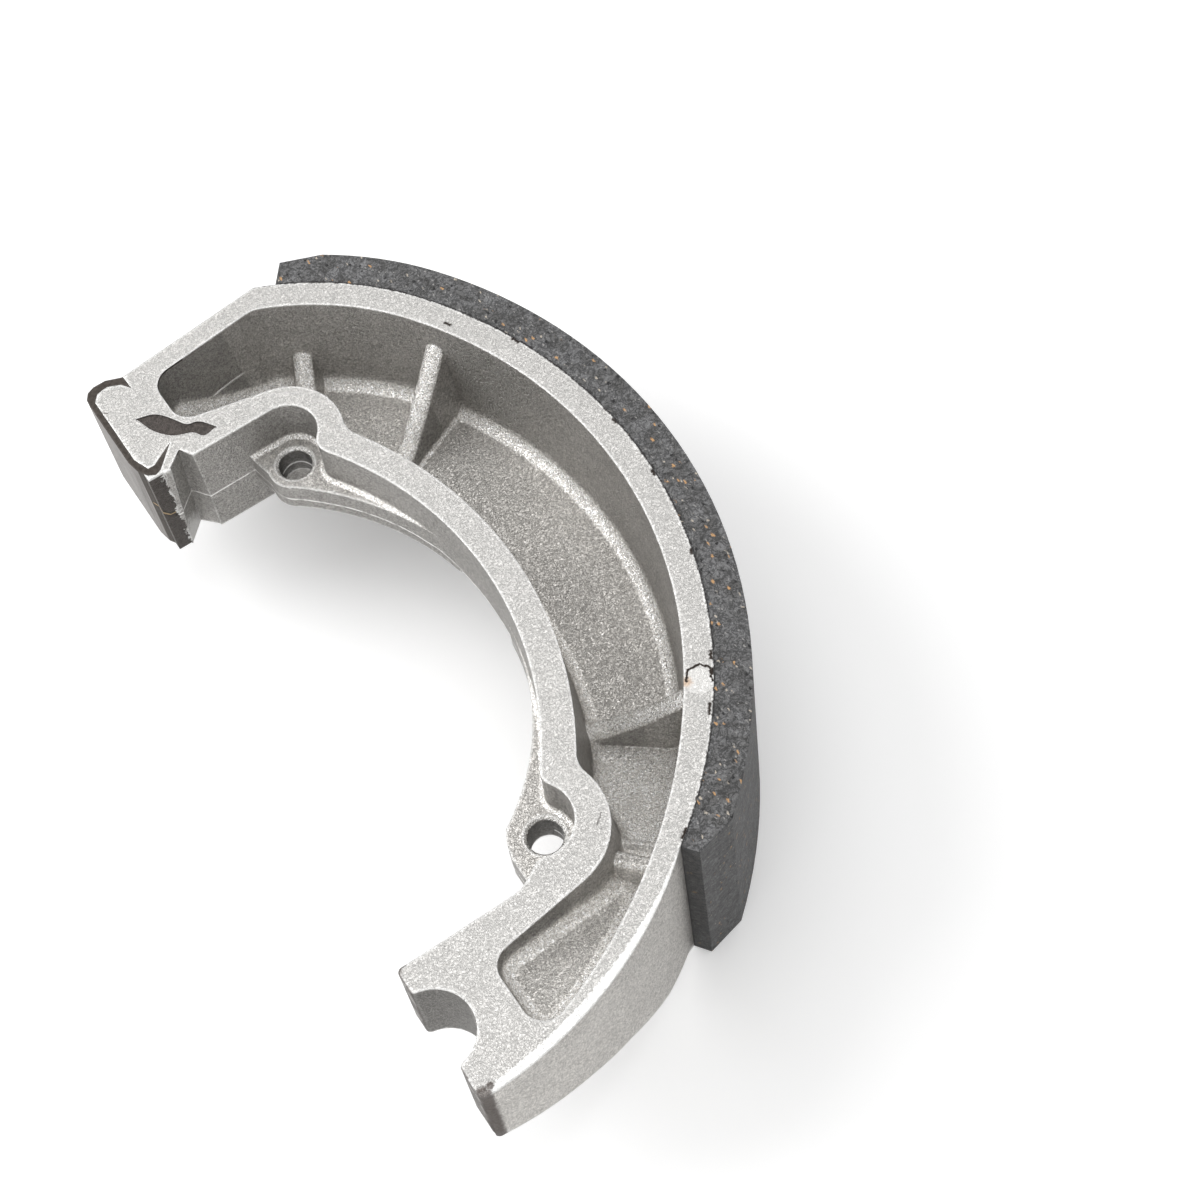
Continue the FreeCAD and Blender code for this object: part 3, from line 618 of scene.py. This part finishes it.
def rib_points():
    """Points of the rib's rounded top, then of its flat underside, in rows from the hub side out."""
    start, end = [Vector((r * math.cos(turn), r * math.sin(turn))) for r, turn in (RIB_FROM, RIB_TO)]
    along = end - start
    side = Vector((-along.y, along.x)).normalized()
    top, under = [], []
    for i in range(RIB_ROWS + 1):
        share = i / RIB_ROWS
        crest = RIB_CREST + RIB_RISE * share ** 2
        for j in range(RIB_COLUMNS + 1):
            across = (j / RIB_COLUMNS - 0.5) * RIB_SPREAD
            spot = start + along * share + side * across
            height = RIB_FOOT + (crest - RIB_FOOT) * math.exp(-(abs(across) / RIB_ROUND) ** 3)
            top.append(Vector((spot.x, spot.y, height)) * MM)
            under.append(Vector((spot.x, spot.y, RIB_BASE)) * MM)
    return top + under


def rib_faces():
    """Faces of the top and the underside, then the four walls between them."""
    row = RIB_COLUMNS + 1
    under = (RIB_ROWS + 1) * row
    last = RIB_ROWS * row
    faces = []
    for i in range(RIB_ROWS):
        for j in range(RIB_COLUMNS):
            a = i * row + j
            faces.append((a, a + row, a + row + 1, a + 1))
            faces.append((under + a, under + a + 1, under + a + row + 1, under + a + row))
    for a in range(0, last, row):
        b = a + RIB_COLUMNS
        faces.append((a, under + a, under + a + row, a + row))
        faces.append((b, b + row, under + b + row, under + b))
    for a in range(RIB_COLUMNS):
        b = last + a
        faces.append((a, a + 1, under + a + 1, under + a))
        faces.append((b, under + b, under + b + 1, b + 1))
    return faces


def pivot_rib(material):
    """Low rounded rib across the pocket by the pivot; the solid has it lower and further out."""
    faces = rib_faces()
    sheets = 2 * RIB_ROWS * RIB_COLUMNS
    mesh = bpy.data.meshes.new("pivot_rib")
    mesh.from_pydata(rib_points(), [], faces)
    mesh.polygons.foreach_set("use_smooth", [n < sheets for n in range(len(faces))])
    mesh.update()
    mesh.materials.append(material)
    piece = bpy.data.objects.new("pivot_rib", mesh)
    bpy.context.collection.objects.link(piece)
    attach(piece, "root")


def dress(node, material):
    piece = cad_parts[node]
    piece.data.materials.clear()
    piece.data.materials.append(material)


def seen(tree):
    """1 for rays that look at the background, straight or by way of metal and glass."""
    path = tree.nodes.new("ShaderNodeLightPath")
    either = path.outputs["Is Camera Ray"]
    for other in ("Is Glossy Ray", "Is Transmission Ray"):
        larger = tree.nodes.new("ShaderNodeMath")
        larger.operation = "MAXIMUM"
        tree.links.new(either, larger.inputs[0])
        tree.links.new(path.outputs[other], larger.inputs[1])
        either = larger.outputs[0]
    return either


def surround():
    """Even white world that looks white and gives the object less light than that."""
    world = bpy.data.worlds.new("surround")
    bpy.context.scene.world = world
    world.use_nodes = True
    tree = world.node_tree
    back = tree.nodes["Background"]
    back.inputs["Color"].default_value = (1, 1, 1, 1)
    level = tree.nodes.new("ShaderNodeMapRange")
    level.inputs["To Min"].default_value = SURROUND_LIGHT
    level.inputs["To Max"].default_value = 1.0
    tree.links.new(seen(tree), level.inputs["Value"])
    tree.links.new(level.outputs["Result"], back.inputs["Strength"])


def pale_floor():
    """Plain pale floor that keeps the shoe's shadow."""
    half = FLOOR_HALF
    corners = [(-half, -half, 0), (half, -half, 0), (half, half, 0), (-half, half, 0)]
    mesh = bpy.data.meshes.new("floor")
    mesh.from_pydata(corners, [], [(0, 1, 2, 3)])
    floor = bpy.data.objects.new("floor", mesh)
    bpy.context.collection.objects.link(floor)
    s = Shader("pale_floor")
    s.finish(Base_Color=FLOOR_COLOUR, Roughness=0.9, Emission_Color=(1, 1, 1, 1),
             Emission_Strength=s.times(seen(s.tree), FLOOR_GLOW))
    mesh.materials.append(s.material)


def lamps():
    """Soft round lamps that point at the shoe."""
    for name, place, width, power in LAMPS:
        lamp = bpy.data.lights.new(name, "AREA")
        lamp.shape = "DISK"
        lamp.size = width
        lamp.energy = power
        holder = bpy.data.objects.new(name, lamp)
        bpy.context.collection.objects.link(holder)
        holder.location = place
        holder.rotation_mode = "QUATERNION"
        holder.rotation_quaternion = (LAMP_AIM - Vector(place)).to_track_quat("-Z", "Y")


def photo_camera():
    """Camera at the photograph's place and angle."""
    data = bpy.data.cameras.new("photo")
    data.lens = LENS
    data.sensor_width = SENSOR
    data.sensor_fit = "HORIZONTAL"
    data.clip_start = 0.01
    camera = bpy.data.objects.new("photo", data)
    bpy.context.collection.objects.link(camera)
    level = math.cos(CAMERA_DOWN)
    look = Vector((level * math.sin(CAMERA_TURN), level * math.cos(CAMERA_TURN), -math.sin(CAMERA_DOWN)))
    camera.location = CAMERA_AT
    camera.rotation_mode = "QUATERNION"
    camera.rotation_quaternion = look.to_track_quat("-Z", "Y") @ Quaternion((0, 0, 1), CAMERA_ROLL)
    bpy.context.scene.camera = camera


aluminium = casting_finish()
dress("shoe_casting", aluminium)
pivot_rib(aluminium)
dress("friction_lining", lining_finish())
dress("cam_wear_plate", plate_finish())
surround()
pale_floor()
lamps()
photo_camera()
bpy.context.scene.view_settings.view_transform = "Standard"
